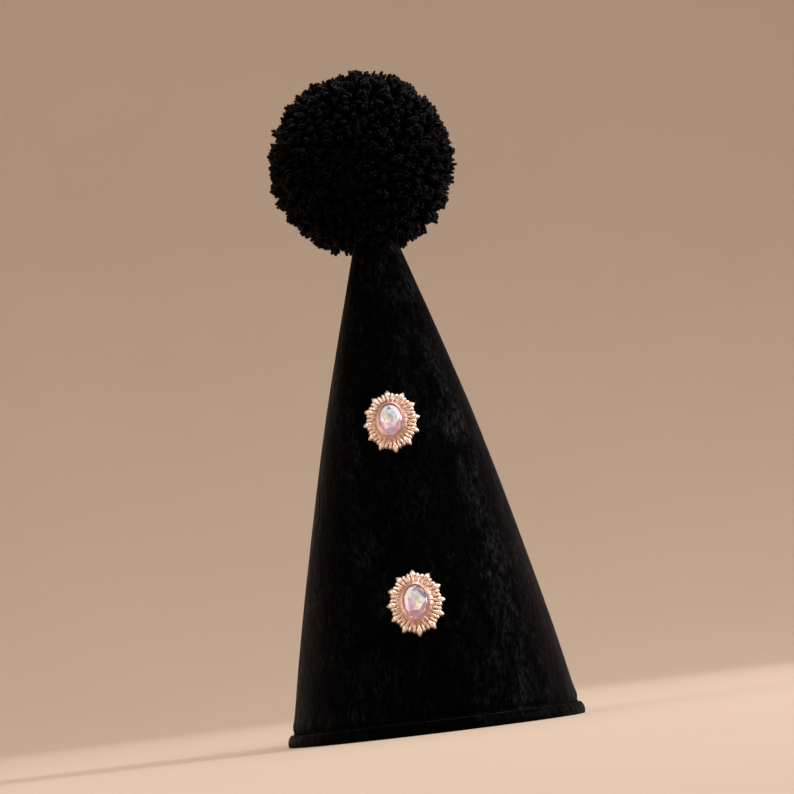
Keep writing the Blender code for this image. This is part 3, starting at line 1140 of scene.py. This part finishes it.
# Tints that the stone's facets show
TINTS = {
    "sky": (0.66, 0.80, 0.96),
    "white": (0.95, 0.95, 1.00),
    "mint": (0.60, 0.82, 0.72),
    "rose": (0.97, 0.66, 0.88),
    "cream": (0.98, 0.90, 0.72),
    "peach": (0.98, 0.76, 0.62),
    "lilac": (0.64, 0.56, 0.84),
    "slate": (0.20, 0.19, 0.24),
    "blush": (0.88, 0.56, 0.54),
    "mauve": (0.62, 0.36, 0.52),
}
# The tints of each stone's facets in three rings, from its middle outwards, and of the edge that both share.
# Each ring goes round from the right, eight tints to the turn.
STONE_TINTS = {
    "upper": (
        "sky mint mint mint cream rose peach rose",
        "white sky mint sky cream rose peach white",
        "white white slate white lilac mauve lilac mauve",
    ),
    "lower": (
        "cream mint mint sky rose rose cream cream",
        "cream sky sky white rose rose mauve cream",
        "sky sky slate white rose lilac mauve mauve",
    ),
}
EDGE_TINTS = "blush blush mauve blush blush blush lilac blush"
RING_LIMITS = (0.22, 0.52, 0.80)
STRAY_TINTS = 0.12

# The stone's rings, as shares of its size, and its heights
STONE_CORNERS = 8
CORE_TABLE_SHARE = 0.27
TABLE_SHARE = 0.56
CROWN_FACET_SHARE = 0.76
EDGE_SHARE = 0.86
CULET_SHARE = 0.45
STONE_FOOT = 1.3 * MM
GIRDLE_LOW = 2.6 * MM
GIRDLE_HIGH = 3.0 * MM
STONE_TOP = 5.1 * MM
FOIL_TILT = math.radians(11)
STONE_SEED = 11


def facet_tint(pick, rings, angle, share):
    """The tint of a facet, from its direction round the stone and its share of the way to the edge."""
    side = int((angle / math.tau * 8 + 0.5) % 8)
    number = sum(share > limit for limit in RING_LIMITS)
    names = (*rings, EDGE_TINTS)[number].split()
    if pick.random() < STRAY_TINTS:
        side += 1
    tint = Vector(TINTS[names[side % 8]]) * pick.uniform(0.75, 1.05)
    return tuple(min(1.0, part) for part in tint)


def stone_solid(buttons):
    """The stone's facets in a bmesh: a table, star facets, kites, girdle facets and a cut-off pavilion."""
    bm = bmesh.new()
    count = STONE_CORNERS

    def ring(share, heights, first=0.0):
        points = []
        for i, height in enumerate(heights):
            angle = math.tau * (i + first) / len(heights)
            across = buttons.half_width * share * math.cos(angle)
            points.append(bm.verts.new((across, buttons.half_length * share * math.sin(angle), height)))
        return points

    fall = STONE_TOP - GIRDLE_HIGH
    slope = (CROWN_FACET_SHARE * math.cos(math.pi / count) - TABLE_SHARE) / (1 - TABLE_SHARE)
    facet_height = STONE_TOP - slope * fall
    down = (EDGE_SHARE - CROWN_FACET_SHARE) / (1 - CROWN_FACET_SHARE)
    at_facets = facet_height - down * (facet_height - GIRDLE_HIGH)
    at_kites = STONE_TOP - (EDGE_SHARE - TABLE_SHARE) / (1 - TABLE_SHARE) * fall
    core = ring(CORE_TABLE_SHARE, [STONE_TOP] * count)
    table = ring(TABLE_SHARE, [STONE_TOP] * count, 0.5)
    facets = ring(CROWN_FACET_SHARE, [facet_height] * count)
    edge = ring(EDGE_SHARE, [at_facets, at_kites] * count)
    girdle = ring(1.0, [GIRDLE_HIGH] * 2 * count)
    under = ring(1.0, [GIRDLE_LOW] * 2 * count)
    culet = ring(CULET_SHARE, [STONE_FOOT] * 2 * count)
    middle = bm.verts.new((0.0, 0.0, STONE_TOP))
    for i in range(count):
        after = (i + 1) % count
        bm.faces.new((middle, core[i], core[after]))
        bm.faces.new((core[i], table[i], core[after]))
        bm.faces.new((table[i - 1], table[i], core[i]))
        bm.faces.new((table[i], table[i - 1], facets[i]))
        bm.faces.new((table[i], facets[i], edge[2 * i + 1], facets[after]))
        bm.faces.new((facets[i], edge[2 * i - 1], edge[2 * i]))
        bm.faces.new((facets[i], edge[2 * i], edge[2 * i + 1]))
    for low, high in ((girdle, edge), (under, girdle), (culet, under)):
        band(bm, low, high)
    bm.faces.new(culet[::-1])
    bmesh.ops.recalc_face_normals(bm, faces=bm.faces)
    bm.faces.index_update()
    return bm


def stone_mesh(buttons, rings, seed):
    """The oval stone, with a tint and a foil direction for every facet."""
    bm = stone_solid(buttons)
    pick = random.Random(seed)
    colours, foils = [], []
    for face in bm.faces:
        at = face.calc_center_median()
        across, along = at.x / buttons.half_width, at.y / buttons.half_length
        angle, share = math.atan2(along, across) % math.tau, math.hypot(across, along)
        colours.append(facet_tint(pick, rings, angle, share))
        side = Vector((pick.uniform(-1, 1), pick.uniform(-1, 1), pick.uniform(-1, 1)))
        side = side.cross(face.normal).normalized()
        foils.append((face.normal + side * math.tan(FOIL_TILT) * pick.uniform(0.2, 1.0)).normalized())
    return mesh_of(bm, "stone", smooth=False), colours, foils


def build_stones(shape, buttons):
    """Both oval stones, cut alike, with their tints falling a little differently."""
    crystal = faceted_stone()
    for number, button in enumerate(BUTTONS):
        mesh, colours, foils = stone_mesh(buttons, STONE_TINTS[button.name], STONE_SEED + number)
        frame_of_button = button_frame(shape, buttons, button)
        mesh.transform(frame_of_button)
        tint = mesh.attributes.new("tint", "FLOAT_COLOR", "CORNER")
        foil = mesh.attributes.new("foil", "FLOAT_VECTOR", "CORNER")
        for polygon in mesh.polygons:
            direction = frame_of_button.to_3x3() @ foils[polygon.index]
            for loop in polygon.loop_indices:
                tint.data[loop].color = (*colours[polygon.index], 1.0)
                foil.data[loop].vector = direction
        finish_piece(f"{button.name}_stone_cut", mesh, [crystal], f"{button.name}_stone")


BOWL_RADIUS = 1.9
BOWL_SWEEP = 2.6
BOWL_HEIGHT = 3.4
BOWL_STEPS = 96
SWEEP_STEPS = 40


def build_floor(colour):
    """A seamless floor that sweeps up into a backdrop all round."""
    profile = [(BOWL_RADIUS * share, 0.0) for share in (0.02, 0.1, 0.3, 0.6, 1.0)]
    for i in range(1, SWEEP_STEPS + 1):
        angle = math.pi / 2 * i / SWEEP_STEPS
        profile.append((BOWL_RADIUS + BOWL_SWEEP * math.sin(angle), BOWL_SWEEP * (1 - math.cos(angle))))
    profile.append((BOWL_RADIUS + BOWL_SWEEP, BOWL_HEIGHT))
    turns = [math.tau * k / BOWL_STEPS for k in range(BOWL_STEPS)]
    points = []
    for radius, height in profile:
        points += [(radius * math.cos(t), radius * math.sin(t), height) for t in turns]
    faces = [face[::-1] for face in ring_faces(len(profile), BOWL_STEPS)]
    faces += [(len(points), k, (k + 1) % BOWL_STEPS) for k in range(BOWL_STEPS)]
    points.append((0.0, 0.0, 0.0))
    floor = mesh_from("studio_floor", points, faces)
    floor.materials.append(paper_floor(colour))
    place("studio_floor", floor)


# Each lamp's name, its place, how wide it is, its power in watts and its colour
LAMPS = (
    ("key_lamp", (2.28, -0.05, 0.95), 1.10, 60.0, (1.0, 0.92, 1.0)),
    ("fill_lamp", (-2.10, -1.30, 1.00), 1.60, 19.0, (1.0, 0.92, 0.84)),
    ("front_lamp", (0.45, -1.10, 2.25), 1.10, 25.0, (1.0, 0.98, 0.96)),
    ("top_lamp", (0.10, 0.80, 2.30), 1.60, 26.0, (1.0, 0.97, 0.94)),
    ("backdrop_lamp", (0.00, 1.30, 2.20), 1.60, 17.0, (1.0, 0.95, 0.88)),
)
BACKDROP_AIM_HEIGHT = 0.9
WORLD_STRENGTH = 0.5
WORLD_COLOUR = (1.0, 0.95, 0.90, 1.0)


def build_lamps(target):
    """The soft studio lamps, all but the backdrop's aimed at the hat, and the even light of the room."""
    backdrop = Vector((0.0, BOWL_RADIUS + BOWL_SWEEP, BACKDROP_AIM_HEIGHT))
    for name, spot, size, watts, colour in LAMPS:
        aim = backdrop if name == "backdrop_lamp" else target
        light = bpy.data.lights.new(name, "AREA")
        light.shape = "DISK"
        light.size = size
        light.energy = watts
        light.color = colour
        obj = place(name, light)
        obj.location = spot
        obj.rotation_euler = (Vector(spot) - aim).to_track_quat("Z", "Y").to_euler()
    world = bpy.data.worlds.new("studio")
    world.use_nodes = True
    background = world.node_tree.nodes["Background"]
    background.inputs["Color"].default_value = WORLD_COLOUR
    background.inputs["Strength"].default_value = WORLD_STRENGTH
    bpy.context.scene.world = world


def build_camera(stage, target):
    """The camera, in front of the hat and just above the floor, rolled so that the hat leans in view."""
    camera = place("camera", bpy.data.cameras.new("camera"))
    back = Vector((0.0, -math.cos(stage.elevation), math.sin(stage.elevation)))
    camera.location = target + back * stage.distance
    turned = back.to_track_quat("Z", "Y") @ Quaternion((0.0, 0.0, 1.0), stage.roll)
    camera.rotation_euler = turned.to_euler()
    camera.data.lens = camera.data.sensor_width * stage.distance / stage.view_height
    camera.data.clip_start = 0.01
    camera.data.clip_end = 50.0
    bpy.context.scene.camera = camera


class PARTYHAT_OT_crown(bpy.types.Operator):
    """Build the velvet crown"""

    bl_idname = "partyhat.crown"
    bl_label = "Crown"

    def execute(self, context):
        build_crown(context.scene.hat_shape, context.scene.hat_colours)
        return {"FINISHED"}


class PARTYHAT_OT_rim(bpy.types.Operator):
    """Build the rim binding and its row of hem stitches"""

    bl_idname = "partyhat.rim"
    bl_label = "Rim binding"

    def execute(self, context):
        build_binding(context.scene.hat_shape, context.scene.hat_colours)
        build_stitches(context.scene.hat_shape, context.scene.hat_colours)
        return {"FINISHED"}


class PARTYHAT_OT_pompom(bpy.types.Operator):
    """Build the yarn pompom"""

    bl_idname = "partyhat.pompom"
    bl_label = "Pompom"

    def execute(self, context):
        build_pompom(context.scene.hat_pompom, context.scene.hat_colours)
        return {"FINISHED"}


class PARTYHAT_OT_settings(bpy.types.Operator):
    """Build the cast settings of both buttons"""

    bl_idname = "partyhat.settings"
    bl_label = "Button settings"

    def execute(self, context):
        scene = context.scene
        build_settings(scene.hat_shape, scene.hat_buttons, scene.hat_colours)
        return {"FINISHED"}


class PARTYHAT_OT_stones(bpy.types.Operator):
    """Build the cut stones of both buttons"""

    bl_idname = "partyhat.stones"
    bl_label = "Stones"

    def execute(self, context):
        build_stones(context.scene.hat_shape, context.scene.hat_buttons)
        return {"FINISHED"}


class PARTYHAT_OT_stage(bpy.types.Operator):
    """Build the floor, the lamps and the camera"""

    bl_idname = "partyhat.stage"
    bl_label = "Stage"

    def execute(self, context):
        scene = context.scene
        low, high = (Vector(corner) for corner in CAD_BOX)
        target = (low + high) / 2
        build_floor(scene.hat_colours.floor)
        build_lamps(target)
        build_camera(scene.hat_stage, target)
        scene.view_settings.view_transform = "Standard"
        return {"FINISHED"}


OPERATORS = (
    PARTYHAT_OT_crown,
    PARTYHAT_OT_rim,
    PARTYHAT_OT_pompom,
    PARTYHAT_OT_settings,
    PARTYHAT_OT_stones,
    PARTYHAT_OT_stage,
)
PROPERTIES = {
    "hat_shape": HatShape,
    "hat_pompom": PompomShape,
    "hat_buttons": ButtonShape,
    "hat_colours": HatColours,
    "hat_stage": StageShape,
}


class PARTYHAT_PT_panel(bpy.types.Panel):
    """The sizes, the colours and a button for each group of pieces"""

    bl_label = "Party hat"
    bl_space_type = "VIEW_3D"
    bl_region_type = "UI"
    bl_category = "Party hat"

    def draw(self, context):
        for name in PROPERTIES:
            box = self.layout.box()
            group = getattr(context.scene, name)
            for key in group.bl_rna.properties.keys():
                if key not in {"rna_type", "name"}:
                    box.prop(group, key)
        for operator in OPERATORS:
            self.layout.operator(operator.bl_idname)


def register():
    """Registers the classes and hangs the properties on the scene."""
    for cls in (*PROPERTIES.values(), *OPERATORS, PARTYHAT_PT_panel):
        bpy.utils.register_class(cls)
    for name, cls in PROPERTIES.items():
        setattr(bpy.types.Scene, name, PointerProperty(type=cls))


def unregister():
    """Takes off what register put on."""
    for name in PROPERTIES:
        delattr(bpy.types.Scene, name)
    for cls in (PARTYHAT_PT_panel, *reversed(OPERATORS), *reversed(PROPERTIES.values())):
        bpy.utils.unregister_class(cls)


def main():
    """Makes every piece and the stage."""
    register()
    bpy.ops.partyhat.crown()
    bpy.ops.partyhat.rim()
    bpy.ops.partyhat.pompom()
    bpy.ops.partyhat.settings()
    bpy.ops.partyhat.stones()
    bpy.ops.partyhat.stage()


if __name__ == "__main__":
    main()
